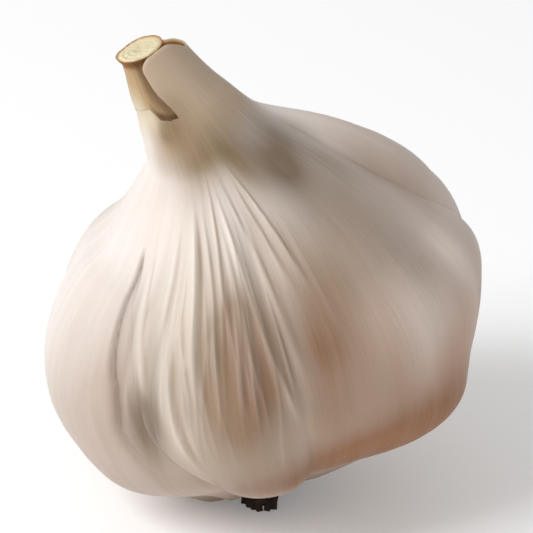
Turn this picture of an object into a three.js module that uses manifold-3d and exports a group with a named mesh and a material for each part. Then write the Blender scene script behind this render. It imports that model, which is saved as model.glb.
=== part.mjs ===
// A whole bulb of garlic: plump cloves under one papery skin that is drawn up into pleats and a
// dried neck, the cut stalk standing in the neck, and the woody root plate underneath with its
// trimmed roots. Millimetres, +Z up. The bulb rests on its root stubs and leans over onto its left
// cloves. The origin is the middle of the flat under the roots, and the front of the bulb is -Y.
// Angles round the bulb are in degrees from the front, growing towards +X.
import * as THREE from 'three';
import { mergeVertices } from 'three/addons/utils/BufferGeometryUtils.js';
import Module from 'manifold-3d';

const wasm = await Module();
wasm.setup();

// How the bulb stands and bends
const LEAN = 8.7; // lean of the whole bulb, to the left
const NECK_LEAN = 23; // further lean of the neck
const BEND = [37.5, 57.5]; // heights between which the axis bends over

// The outside, as radius and height along the axis, from under the bulb to the cut neck
const OUTLINE = [
  [0, 5.7], [7.2, 5.4], [10.5, 4.8], [18, 9], [26, 13.4], [29.7, 19.5], [30.2, 27.2],
  [25.5, 34.8], [17.7, 42], [13.1, 47.1], [8.5, 53.6], [6.4, 58.2], [5.3, 63], [4.7, 68],
];
const NECK_START = 10; // the outline point where the neck begins

// The neck's cut top: height on the axis, and its slope to the right and to the front
const CUT_HEIGHT = 67.6;
const CUT_SLOPE = [-12, 5];

// Cloves, each from its left edge. The edge is an angle at the foot, at the belly and at the
// shoulder, and so is the depth of the crease along it. A clove swells out, lifts its shoulder and
// hangs down at its foot.
const CLOVES = [
  { edge: [-112, -112, -112], crease: [3, 2.4, 0.8], swell: -2.25, lift: -0.5, hang: 4.1, columns: 20 },
  { edge: [-14, -31, -44], crease: [0.8, 1.6, 1.2], swell: 2.3, lift: 0, hang: 0.3, columns: 32 },
  { edge: [15, 13.5, 11], crease: [1.2, 0.5, 0.6], swell: 0.4, lift: 2.2, hang: 0.2, columns: 28 },
  { edge: [122, 112, 92], crease: [0.4, -1.35, -1.05], swell: 3.7, lift: 3.15, hang: 0, columns: 12 },
  { edge: [162, 155, 142], crease: [2.4, 1.4, 1.5], swell: 0.4, lift: 0.5, hang: 1, columns: 12 },
  { edge: [200, 199, 197], crease: [2.4, 1.4, 1.5], swell: 0.4, lift: 0.4, hang: 5, columns: 12 },
];
const EDGE_LEVELS = [12, 25, 46];
const CREASE_SHARPNESS = 2.4;
const CREASE_LEVELS = [{ at: 9.5, spread: 9 }, { at: 26, spread: 10 }, { at: 42, spread: 8 }];

// Hollows in the skin, or swellings where the depth is negative: where, half sizes and depth
const DENTS = [
  { angle: -35, height: 34, wide: 6, tall: 8, deep: 0.8 },
  { angle: -29, height: 24, wide: 6, tall: 6, deep: 1 },
  { angle: 19, height: 31, wide: 7, tall: 7, deep: 0.5 },
  { angle: -95, height: 52.6, wide: 45, tall: 4, deep: 1.1 },
  { angle: -85, height: 45, wide: 50, tall: 6, deep: -1.1 },
  { angle: 98, height: 34.5, wide: 20, tall: 8.5, deep: -2.45 },
  { angle: 96, height: 24, wide: 16, tall: 4, deep: 0.25 },
  { angle: 105, height: 38, wide: 14, tall: 4, deep: 0.2 },
  { angle: 79, height: 18, wide: 12, tall: 4, deep: 0.7 },
  { angle: 62, height: 14.5, wide: 18, tall: 5, deep: -1.55 },
  { angle: 120, height: 43, wide: 24, tall: 6, deep: 1.5 },
  { angle: -85, height: 19, wide: 30, tall: 5, deep: -0.85 },
  { angle: -24, height: 11.5, wide: 22, tall: 4, deep: 0.8 },
  { angle: -85, height: 30, wide: 30, tall: 5, deep: 0.2 },
  { angle: -60, height: 11.5, wide: 14, tall: 4, deep: -0.8 },
  { angle: -42, height: 6.3, wide: 10, tall: 4, deep: 2.75 },
  { angle: -80, height: 13, wide: 18, tall: 4, deep: 0.85 },
  { angle: -95, height: 25, wide: 30, tall: 4, deep: 0.2 },
  { angle: 30, height: 12.5, wide: 14, tall: 4, deep: 1.1 },
  { angle: 52, height: 12, wide: 12, tall: 3.5, deep: -0.45 },
];

// The crease round the foot of the neck, lower and deeper at the front, with a plump ring below it
const COLLAR = {
  height: 52.6, dip: 1.8, tall: 2.4, deep: 0.3, frontDeep: 0.7, front: -30, wide: 60, ring: 7,
};

// The groove where the left clove's skin tucks under, as angles at heights: a line, and a band that
// rises gently to its right. Each has a depth, and a width in degrees on its left and right.
const TUCK = {
  path: [
    [15.5, -31], [20, -38], [22, -39.5], [25, -39], [28, -39.7], [30, -41.5], [32.5, -42.8],
    [35, -43.7], [38.5, -44.6], [42.5, -45], [46, -44.5],
  ],
  line: { deep: 0.4, left: 1.5, right: 2 },
  band: { deep: 0.75, left: 1.8, right: 7 },
};

// Pleats gathered to the neck: angle and height of the upper end, angle and height of the lower
// end, how far the crest stands, and how wide its left side is
const FRONT_PLEATS = [
  [-36, 47, -24.5, 27, 0.45, 2.6], [-21, 49, -23, 33, 0.3, 2], [-20.5, 38, -13.5, 18, 0.55, 2.2],
  [-16, 40, -12.5, 27, 0.35, 1.6], [-13.5, 50, -10, 28, 0.8, 2.8], [-7.5, 49, -5.5, 30, 0.45, 1.7],
  [-1, 52, -4.5, 33, 0.45, 1.7], [2, 50, 12, 23, 0.5, 1.8], [7.5, 51, 12, 41, 0.3, 1.7],
  [10.5, 46, 16.5, 27, 0.65, 1.8], [14.5, 51, 21, 36, 0.4, 1.7], [17.5, 52, 26.5, 35.5, 0.6, 1.7],
  [-31, 29, -24, 17, 0.35, 1.6], [-36.5, 31, -31, 17, 0.2, 1.6],
];
const PLEAT_RIGHT = 0.75; // width of a pleat's steeper right side, as a share of its left side
const PLEAT_FADE = 6; // height over which a pleat rises from nothing at its ends
const OTHER_PLEATS = 26;
const GOLDEN = 0.618034;

// The papery sheath of the neck stands level with the stalk's cut at the front and below it at the
// back. On its left side it is torn away down to a hem, which rises gently to the left and then
// turns up. Its free edge at the front is rounded at the top corner, leans to the left and stands
// off the stalk.
const SHEATH = 0.7;
const RIM = { front: -0.6, back: 1.7, from: 42, over: 50 };
const TORN = { from: -178, to: 4, ease: 14, end: 2.5 };
const HEM = { height: 58.5, rise: 1.1, over: 26, end: 1.6, from: -21, endOver: 10 };
const FLAP = { corner: 26, drop: 1.8, lean: 10.5, over: 5.5, leanWide: 40, out: 0.3, outWide: 18 };
const HOLE_FLOOR = 55.5;

// The stalk in the neck
const FIT_GAP = 0.35;
const STALK_TOP = { narrow: 0.9, shift: -0.5, from: 60.3 };
const STALK_SIDES = 32;

// The root plate and its trimmed roots
const PLATE_PROFILE = [
  [0, 5.1], [4.9, 5], [6.2, 4.5], [6.4, 3.7], [5.4, 2.8], [3.9, 2.2], [3, 1.1], [2.7, -2], [0, -2],
];
const PLATE_MIDDLE = [-1, 1.3];
const ROOTS = 44;
const ROOT_RADIUS = [0.62, 0.42];
const TUFT = { angle: -21, step: 6.5, count: 6, reach: 8.3 };
const WORN = { angle: 70, wide: 65, level: 3.4, most: 1.6 }; // where the stubs are worn away

const BODY_ROWS = 38;
const NECK_ROWS = 9;
const rad = THREE.MathUtils.degToRad;
const lerp = THREE.MathUtils.lerp;
const step = (x) => THREE.MathUtils.smoothstep(x, 0, 1);
const bell = (x) => Math.exp(-x * x);
const turnFrom = (angle, start) => THREE.MathUtils.euclideanModulo(angle - start, 360);
const apart = (angle, other) => turnFrom(angle + 180, other) - 180;

const outline = new THREE.SplineCurve(OUTLINE.map(([r, h]) => new THREE.Vector2(r, h)));
const neckLine = outline.getPoints(600).filter((at) => at.y > OUTLINE[NECK_START][1] - 1);
const neckRadius = (height) => (neckLine.find((at) => at.y >= height) ?? neckLine.at(-1)).x;

// A point at a height along the bent axis and an offset across it, in the bulb as it stands
function place(height, right, back) {
  const bendRadius = (BEND[1] - BEND[0]) / rad(NECK_LEAN);
  const turned = THREE.MathUtils.clamp((height - BEND[0]) / bendRadius, 0, rad(NECK_LEAN));
  const over = Math.max(height - BEND[1], 0);
  const x = -bendRadius * (1 - Math.cos(turned)) - over * Math.sin(turned);
  const z = Math.min(height, BEND[0]) + bendRadius * Math.sin(turned) + over * Math.cos(turned);
  const point = new THREE.Vector3(x + right * Math.cos(turned), back, z + right * Math.sin(turned));
  return point.applyAxisAngle(new THREE.Vector3(0, 1, 0), -rad(LEAN));
}

const around = (height, radius, angle, shift = 0) => place(
  height, shift + radius * Math.sin(rad(angle)), -radius * Math.cos(rad(angle)),
);

// The angle of a clove's left edge at a height; the clove after the last is the first again
function edgeAngle(index, height) {
  const { edge } = CLOVES[index % CLOVES.length];
  const [foot, belly, shoulder] = EDGE_LEVELS;
  const low = lerp(edge[0], edge[1], step((height - foot) / (belly - foot)));
  const full = index < CLOVES.length ? 0 : 360;
  return lerp(low, edge[2], step((height - belly) / (shoulder - belly))) + full;
}

function creaseDepth(index, height) {
  const { crease } = CLOVES[index % CLOVES.length];
  return CREASE_LEVELS.reduce(
    (sum, { at, spread }, level) => sum + crease[level] * bell((height - at) / spread), 0,
  );
}

// The pleats all round: those at the front by hand, the others spread over the back by the
// golden ratio
const PLEATS = [...FRONT_PLEATS];
for (let i = 1; i <= OTHER_PLEATS; i += 1) {
  const top = 128 + 112 * ((i * GOLDEN) % 1);
  const length = (i * GOLDEN * GOLDEN * 3) % 1;
  PLEATS.push([top, 53, top + 4 * Math.sin(i), lerp(46, 27, length), 0.35 + 0.3 * length, 1.8]);
}

// A ridge or groove that falls away on both sides of its line
const fallAway = (away, left, right, power) => (
  Math.exp(-((Math.abs(away) / (away < 0 ? left : right)) ** power))
);

function pleatHeight(angle, height) {
  let sum = 0;
  PLEATS.forEach(([top, topHeight, low, lowHeight, tall, wide], i) => {
    const share = THREE.MathUtils.clamp((height - lowHeight) / (topHeight - lowHeight), 0, 1);
    const away = apart(angle, lerp(low, top, share) + 0.35 * Math.sin(height * 0.3 + i * 1.7));
    const fade = step((height - lowHeight) / PLEAT_FADE) * step((topHeight - height) / PLEAT_FADE);
    sum += tall * fade * fallAway(away, wide, PLEAT_RIGHT * wide, 1.35);
  });
  return sum;
}

function tuckDepth(angle, height) {
  const { path, line, band } = TUCK;
  const next = path.findIndex(([level]) => level > height);
  if (next < 1) return 0;
  const share = (height - path[next - 1][0]) / (path[next][0] - path[next - 1][0]);
  const away = apart(angle, lerp(path[next - 1][1], path[next][1], share));
  const fade = step((height - path[0][0] + 0.5) / 6) * step((path.at(-1)[0] - height) / 5);
  return fade * (line.deep * fallAway(away, line.left, line.right, 1)
    + band.deep * fallAway(away, band.left, band.right, 1));
}

function dentDepth(angle, height) {
  return DENTS.reduce((sum, dent) => {
    const across = bell(apart(angle, dent.angle) / dent.wide);
    return sum + dent.deep * across * bell((height - dent.height) / dent.tall);
  }, 0);
}

function collarDepth(angle, height) {
  const below = height - COLLAR.height + COLLAR.dip * Math.cos(rad(angle));
  const deep = COLLAR.deep + COLLAR.frontDeep * bell((angle - COLLAR.front) / COLLAR.wide);
  return deep * (bell(below / COLLAR.tall) - 0.7 * bell((below + COLLAR.ring) / (2 * COLLAR.tall)));
}

// The angle of a column, which keeps its share of the way across a clove, at a height
const columnAngle = ({ index, share }, height) => lerp(
  edgeAngle(index, height), edgeAngle(index + 1, height), share,
);

// The skin at a place on the outline and a column of a clove: a plain turned shape, then its
// cloves, creases, dents, collar and pleats
function skinPoint(radius, height, column, lean = 0) {
  const { index, share } = column;
  const clove = CLOVES[index];
  const angle = columnAngle(column, height) - lean;
  const edge = Math.abs(2 * share - 1) ** CREASE_SHARPNESS;
  const crest = 1 - edge;
  const body = step((height + 0.5) / 8) * step((54 - height) / 14);
  const taper = Math.min(radius / 20, 1);
  const crease = creaseDepth(share < 0.5 ? index : index + 1, height) * edge;
  const lift = clove.lift * crest * step((height - 12) / 20) * step((54 - height) / 12);
  const hang = clove.hang * crest * step((24 - height) / 14) * step((radius - 7.5) / 6);
  const outward = clove.swell * crest * body - crease - dentDepth(angle, height);
  const relief = pleatHeight(angle, height) - tuckDepth(angle, height) - collarDepth(angle, height);
  const out = radius + outward * taper + relief;
  const point = around(height + lift - hang, out, angle);
  point.z = Math.max(point.z, 0);
  return point;
}

// Height of the knife's flat cut at an offset from the axis
const cutAt = (right, back) => CUT_HEIGHT
  + Math.tan(rad(CUT_SLOPE[0])) * right + Math.tan(rad(CUT_SLOPE[1])) * back;

// Height of the sheath's edge at an angle
function sheathRim(angle) {
  const cut = cutAt(4 * Math.sin(rad(angle)), -4 * Math.cos(rad(angle)));
  const past = turnFrom(angle, TORN.to);
  const corner = 1 - Math.sqrt(1 - Math.max(1 - past / FLAP.corner, 0) ** 2);
  const below = lerp(RIM.front, RIM.back, step((past - RIM.from) / RIM.over));
  const stands = cut - below - FLAP.drop * corner;
  const toLeft = -apart(angle, 0);
  const rise = HEM.rise * THREE.MathUtils.clamp(toLeft / HEM.over, 0, 1);
  const hem = HEM.height + rise + HEM.end * step((toLeft + HEM.from) / HEM.endOver);
  const along = turnFrom(angle, TORN.from);
  const left = TORN.to - TORN.from - along;
  return lerp(stands, hem, Math.min(step(along / TORN.ease), step(left / TORN.end)));
}

// How far the sheath's free edge leans to the left, in degrees, and how far it stands out
function flapAt(angle, height) {
  const up = step((height - HEM.height) / FLAP.over);
  const from = apart(angle, TORN.to);
  const lean = FLAP.lean * up * bell(from / FLAP.leanWide);
  return { lean, out: FLAP.out * up * bell(from / FLAP.outWide) };
}

// A closed skin over rings of points, each ring as long as the next, between two poles
function closedSkin(firstPole, rings, lastPole) {
  const sides = rings[0].length;
  const points = [firstPole, ...rings.flat(), lastPole];
  const last = points.length - 1;
  const index = [];
  for (let i = 0; i < sides; i += 1) {
    const next = (i + 1) % sides;
    index.push(0, 1 + next, 1 + i);
    for (let row = 0; row < rings.length - 1; row += 1) {
      const low = 1 + row * sides;
      const high = low + sides;
      index.push(low + i, low + next, high + next, low + i, high + next, high + i);
    }
    index.push(last, last - sides + i, last - sides + next);
  }
  const geometry = new THREE.BufferGeometry().setFromPoints(points);
  geometry.setIndex(index);
  geometry.computeVertexNormals();
  return geometry;
}

// The bulb in its skin, with the hole in the neck that the stalk stands in
function bulbBody() {
  const columns = CLOVES.flatMap(({ columns: count }, index) => (
    Array.from({ length: count }, (_, i) => ({ index, share: i / count }))
  ));
  const rings = [];
  for (let row = 1; row <= BODY_ROWS; row += 1) {
    const at = outline.getPoint((row / BODY_ROWS) * (NECK_START / (OUTLINE.length - 1)));
    rings.push(columns.map((column) => skinPoint(at.x, at.y, column)));
  }
  const [, neckHeight] = OUTLINE[NECK_START];
  const rims = columns.map((column) => {
    const angle = columnAngle(column, neckHeight);
    return { column, angle, rim: sheathRim(angle) };
  });
  for (let row = 1; row <= NECK_ROWS; row += 1) {
    rings.push(rims.map(({ column, angle, rim }) => {
      const height = lerp(neckHeight, rim, row / NECK_ROWS);
      const { lean, out } = flapAt(angle, height);
      return skinPoint(neckRadius(height) + out, height, column, lean);
    }));
  }
  for (const share of [0, 0.35, 0.7, 1]) {
    rings.push(rims.map(({ angle, rim }) => {
      const height = lerp(rim, HOLE_FLOOR, share);
      const { lean, out } = flapAt(angle, height);
      return around(height, neckRadius(height) + out - SHEATH, angle - lean);
    }));
  }
  return closedSkin(place(OUTLINE[0][1], 0, 0), rings, place(HOLE_FLOOR, 0, 0));
}

// The stalk: a round stem that tapers upwards, a little to the left in its sheath, cut flat on top
function neckStalk() {
  const foot = HOLE_FLOOR + FIT_GAP;
  const angles = Array.from({ length: STALK_SIDES }, (_, i) => (i * 360) / STALK_SIDES);
  const rings = [0, 0.15, 0.3, 0.45, 0.6, 0.8, 1].map((share) => angles.map((angle) => {
    const level = lerp(foot, CUT_HEIGHT, share);
    const top = step((level - STALK_TOP.from) / (CUT_HEIGHT - STALK_TOP.from));
    const shift = STALK_TOP.shift * top;
    const radius = neckRadius(level) - SHEATH - FIT_GAP - STALK_TOP.narrow * top;
    const right = shift + radius * Math.sin(rad(angle));
    const back = -radius * Math.cos(rad(angle));
    return place(lerp(foot, cutAt(right, back), share), right, back);
  }));
  const top = place(cutAt(STALK_TOP.shift, 0), STALK_TOP.shift, 0);
  return closedSkin(place(foot, 0, 0), rings, top);
}

function toManifold(geometry) {
  geometry.deleteAttribute('normal');
  geometry.deleteAttribute('uv');
  const merged = mergeVertices(geometry, 1e-4);
  return new wasm.Manifold(new wasm.Mesh({
    numProp: 3,
    vertProperties: Float32Array.from(merged.attributes.position.array),
    triVerts: Uint32Array.from(merged.index.array),
  }));
}

function fromManifold(solid) {
  const { vertProperties, triVerts } = solid.getMesh();
  const geometry = new THREE.BufferGeometry();
  geometry.setAttribute('position', new THREE.BufferAttribute(vertProperties, 3));
  geometry.setIndex(new THREE.BufferAttribute(triVerts, 1));
  geometry.computeVertexNormals();
  return geometry;
}

// One root stub: a slim five-sided cone between two points
function rootStub(from, to) {
  const along = to.clone().sub(from);
  const geometry = new THREE.CylinderGeometry(ROOT_RADIUS[1], ROOT_RADIUS[0], along.length(), 5);
  const up = new THREE.Vector3(0, 1, 0);
  geometry.applyQuaternion(new THREE.Quaternion().setFromUnitVectors(up, along.normalize()));
  const middle = from.clone().add(to).multiplyScalar(0.5);
  return geometry.translate(middle.x, middle.y, middle.z);
}

// The root plate: a low turned boss with stubs all round it, sawn flat where the bulb stands
function rootPlate() {
  const profile = PLATE_PROFILE.map(([r, h]) => new THREE.Vector2(r, h)).reverse();
  const plate = new THREE.LatheGeometry(profile, 28).rotateX(Math.PI / 2);
  plate.rotateY(-rad(LEAN));
  plate.translate(PLATE_MIDDLE[0], PLATE_MIDDLE[1], 0);
  let solid = toManifold(plate);
  for (let i = 0; i < ROOTS; i += 1) {
    const inTuft = i < TUFT.count;
    const turn = inTuft ? TUFT.angle + TUFT.step * (i - (TUFT.count - 1) / 2) : i * 360 * GOLDEN;
    const worn = Math.min(WORN.most * bell(apart(turn, WORN.angle) / WORN.wide), 1);
    const inset = (3.2 + 2.6 * ((i * 0.7549) % 1)) * (1 - 0.35 * worn);
    const start = inTuft ? 4.8 : inset;
    const length = (0.4 + 0.9 * ((i * 0.57) % 1)) * (1 - worn);
    const reach = inTuft ? TUFT.reach - 0.3 * (i % 3) : start + length;
    const level = inTuft ? 0.2 : lerp(0.4 + 1.8 * ((i * 0.43) % 1), WORN.level, worn);
    solid = solid.add(toManifold(rootStub(around(3.9, start, turn), around(level, reach, turn))));
  }
  const ground = new THREE.BoxGeometry(40, 40, 10).translate(0, 0, -5);
  return fromManifold(solid.subtract(toManifold(ground)));
}

function piece(name, geometry, color, roughness) {
  const material = new THREE.MeshStandardMaterial({ color, roughness, metalness: 0 });
  const mesh = new THREE.Mesh(geometry, material);
  mesh.name = name;
  return mesh;
}

const garlic = new THREE.Group();
garlic.add(piece('bulb_body', bulbBody(), 0xe8ded0, 0.55));
garlic.add(piece('neck_stalk', neckStalk(), 0xd6bf8a, 0.6));
garlic.add(piece('root_plate', rootPlate(), 0x4b3524, 0.9));

export default garlic;
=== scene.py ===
# A whole garlic bulb on a pale table: its papery skin, the stalk in its torn neck, and the woody
# root plate with trimmed roots. Shapes are worked out in millimetres in the frame of the packed
# solids, +Z up, and written into the meshes in metres. Angles round the bulb are in degrees from
# the front, -Y, growing towards +X; heights run along the bulb's bent axis. A pair of values that
# is named for a start or an end says where something sets in or stops, and over how far.
import math

import bpy
import numpy as np
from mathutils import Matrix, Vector


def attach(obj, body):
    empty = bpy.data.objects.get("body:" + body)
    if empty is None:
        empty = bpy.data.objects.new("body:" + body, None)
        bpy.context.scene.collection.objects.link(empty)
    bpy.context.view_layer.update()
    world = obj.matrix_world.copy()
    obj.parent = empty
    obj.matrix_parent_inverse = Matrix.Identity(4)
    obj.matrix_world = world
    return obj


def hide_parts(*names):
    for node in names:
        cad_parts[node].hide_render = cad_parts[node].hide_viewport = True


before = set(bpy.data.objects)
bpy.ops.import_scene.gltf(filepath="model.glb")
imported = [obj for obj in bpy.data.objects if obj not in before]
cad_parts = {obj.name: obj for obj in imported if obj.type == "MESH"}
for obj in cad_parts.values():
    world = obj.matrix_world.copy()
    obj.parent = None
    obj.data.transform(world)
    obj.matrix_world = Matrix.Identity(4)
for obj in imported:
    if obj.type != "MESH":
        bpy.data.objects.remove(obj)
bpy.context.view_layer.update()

MM = 0.001

# How the bulb stands and where its axis bends
LEAN = math.radians(8.7)
NECK_LEAN = math.radians(23)
BEND = (37.5, 57.5)

# The outside, as radius and height along the axis, from under the bulb to the cut neck
OUTLINE = np.array([
    [0, 5.7], [7.2, 5.4], [10.5, 4.8], [18, 9], [26, 13.4], [29.7, 19.5], [30.2, 27.2],
    [25.5, 34.8], [17.7, 42], [13.1, 47.1], [8.5, 53.6], [6.4, 58.2], [5.3, 63], [4.7, 68],
])
NECK_START = 10
CUT_HEIGHT = 67.6
CUT_SLOPE = (math.tan(math.radians(-12)), math.tan(math.radians(5)))

# The six cloves, each from its left edge: the edge's angle at foot, belly and shoulder, and the
# crease along it at foot, middle and shoulder
CLOVE_EDGES = np.array([
    [-112, -112, -112], [-14, -31, -44], [15, 13.5, 11], [122, 112, 92], [162, 155, 142],
    [200, 199, 197.0],
])
EDGE_LEVELS = (12, 25, 46)
CREASES = np.array([
    [3, 2.4, 0.8], [0.8, 1.6, 1.2], [1.2, 0.5, 0.6], [0.4, -1.35, -1.05], [2.4, 1.4, 1.5],
    [2.4, 1.4, 1.5],
])
CREASE_LEVELS = ((9.5, 9), (26, 10), (42, 8))
CREASE_SHARPNESS = 2.4

# How each clove swells, lifts its shoulder and hangs at its foot, and where it does so. A span is
# where it starts, over how far, where it ends and over how far.
SWELL = np.array([-2.25, 2.3, 0.4, 3.7, 0.4, 0.4])
LIFT = np.array([-0.5, 0, 2.2, 3.15, 0.5, 0.4])
HANG = np.array([4.1, 0.3, 0.2, 0, 1, 5])
SWELL_SPAN = (-0.5, 8, 54, 14)
LIFT_SPAN = (12, 20, 54, 12)
HANG_END = (24, 14)
HANG_START_RADIUS = (7.5, 6)
FULL_RADIUS = 20

# Hollows, or swellings where the depth is negative: angle, height, half width, half height, depth
DENTS = (
    (-35, 34, 6, 8, 0.8), (-29, 24, 6, 6, 1.0), (19, 31, 7, 7, 0.5), (-95, 52.6, 45, 4, 1.1),
    (-85, 45, 50, 6, -1.1), (98, 34.5, 20, 8.5, -2.45), (96, 24, 16, 4, 0.25), (105, 38, 14, 4, 0.2),
    (79, 18, 12, 4, 0.7), (62, 14.5, 18, 5, -1.55), (120, 43, 24, 6, 1.5), (-85, 19, 30, 5, -0.85),
    (-24, 11.5, 22, 4, 0.8), (-85, 30, 30, 5, 0.2), (-60, 11.5, 14, 4, -0.8), (-42, 6.3, 10, 4, 2.75),
    (-80, 13, 18, 4, 0.85), (-95, 25, 30, 4, 0.2), (30, 12.5, 14, 4, 1.1), (52, 12, 12, 3.5, -0.45),
)

# The seam where the left clove's skin tucks under: its heights and angles, and its two grooves,
# a thin line and a broad band, each with its depth and its width to the left and to the right
SEAM_PATH = ((15.5, 20, 22, 25, 28, 30, 32.5, 35, 38.5, 42.5, 46),
             (-31, -38, -39.5, -39, -39.7, -41.5, -42.8, -43.7, -44.6, -45, -44.5))
SEAM_GROOVES = ((0.55, 0.7, 1.1), (0.75, 1.2, 7))
SEAM_SPAN = (15, 6, 46, 5)

# The waist below the neck, deeper at the front left, with a swollen ring under it
COLLAR = {"height": 52.6, "dip": 1.8, "tall": 2.4, "deep": 0.3, "front_deep": 0.7,
          "front": -30, "wide": 60, "ring": 7, "ring_tall": 4.8, "ring_share": 0.7}

# Pleats: angle and height of the upper end, angle and height of the lower end, how far the crest
# stands, and how wide its long left side is
FRONT_PLEATS = (
    (-36, 47, -24.5, 27, 0.45, 2.6), (-21, 49, -23, 33, 0.3, 2.0), (-20.5, 38, -13.5, 18, 0.55, 2.2),
    (-16, 40, -12.5, 27, 0.35, 1.3), (-13.5, 50, -10, 28, 0.8, 2.8), (-7.5, 49, -5.5, 30, 0.45, 1.4),
    (-1, 52, -4.5, 33, 0.45, 1.5), (2, 50, 12, 23, 0.5, 1.8), (7.5, 51, 12, 41, 0.3, 1.6),
    (10.5, 46, 16.5, 27, 0.65, 1.8), (14.5, 51, 21, 36, 0.4, 1.6), (17.5, 52, 26.5, 35.5, 0.6, 1.4),
    (-31, 29, -24, 17, 0.35, 1.4), (-36.5, 31, -31, 17, 0.2, 1.2),
)
PLEAT_RIGHT = 0.4
PLEAT_FADE = 6
PLEAT_SHARPNESS = 1.35
PLEAT_WANDER = {"wide": 0.35, "per_mm": 0.3, "step": 1.7}
# Where the painted shade at the foot of each pleat's steep right side lies, and how wide it is, as
# multiples of that side's width
PLEAT_FOOT_SHADE = {"at": 1.5, "wide": 0.8}
OTHER_PLEATS = {"count": 26, "middle": 128, "spread": 112, "slant": 4, "top": 53,
                "low": (46, 27), "tall": (0.35, 0.65), "wide": 1.8}
GOLDEN = 0.618034

# Fine crests between the pleats: those at the front bunched round a mean angle with a spread, those
# at the back evenly over a range of angles, and the ranges of their upper ends and other sizes
FINE_PLEATS = (
    {"count": 110, "bunched": True, "middle": (-6, 17), "top": (32, 46), "tall": (0.07, 0.26)},
    {"count": 40, "bunched": False, "middle": (122, 242), "top": (38, 54), "tall": (0.04, 0.13)},
)
FINE_SEED = 11
FINE_LENGTH = (7, 18)
FINE_WIDE = (0.5, 1.0)
FINE_WANDER = {"wide": 0.9, "per_mm": (0.1, 0.35), "phase": (0, 6.3)}
FINE_FADE = {"in": 6, "past": 3, "out": 5}

# Layers of seeded noise: how far it reaches, cells round the bulb, millimetres up it, and the seed
SKIN_CRINKLE = ((0.1, 40, 9, 3), (0.035, 150, 5, 4))
CRINKLE_START_RADIUS = (4, 6)
RIM_RAGGED = ((0.08, 40, 9, 51),)
HEM_RAGGED = ((0.12, 36, 9, 52), (0.05, 150, 9, 53))
STALK_RIBS = ((0.05, 30, 14, 21), (0.02, 90, 6, 22))
FACE_WAVE = ((0.04, 7, 10, 23),)
FACE_GRAIN = ((0.05, 60, 8, 24),)
PLATE_ROUGH = ((0.22, 26, 1.4, 31), (0.12, 60, 0.7, 32))
NOISE_ROWS = 64
NOISE_START_ROW = 8

# The plain colours of the skin, the paints laid over them in order, and those that fibres break up. The
# crease colour and several of the paints are painted shade, highlight or reflection, as said where they
# lie.
SKIN_COLOURS = {"paper": (239, 232, 227), "dull": (231, 222, 216), "fibre": (176, 152, 130),
                "streak": (166, 134, 110), "crease": (118, 96, 80)}
SKIN_PAINTS = {
    "low": (188, 171, 159), "straw": (224, 210, 186), "warm_and_shade": (160, 141, 124),
    "blush": (202, 168, 146), "tan": (146, 121, 97), "brown": (126, 92, 66), "dry": (190, 168, 145),
    "olive_and_shade": (132, 110, 80), "grey_and_shade": (112, 97, 81), "pale": (244, 230, 220), "rust_and_reflection": (150, 98, 58),
    "cream": (214, 200, 172), "white_and_highlight": (243, 240, 238), "golden": (168, 122, 62),
    "valley_shade": (144, 118, 88), "crest_highlight": (236, 225, 214),
}
BROKEN_PAINTS = ("blush", "brown", "pale", "rust_and_reflection")

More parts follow.
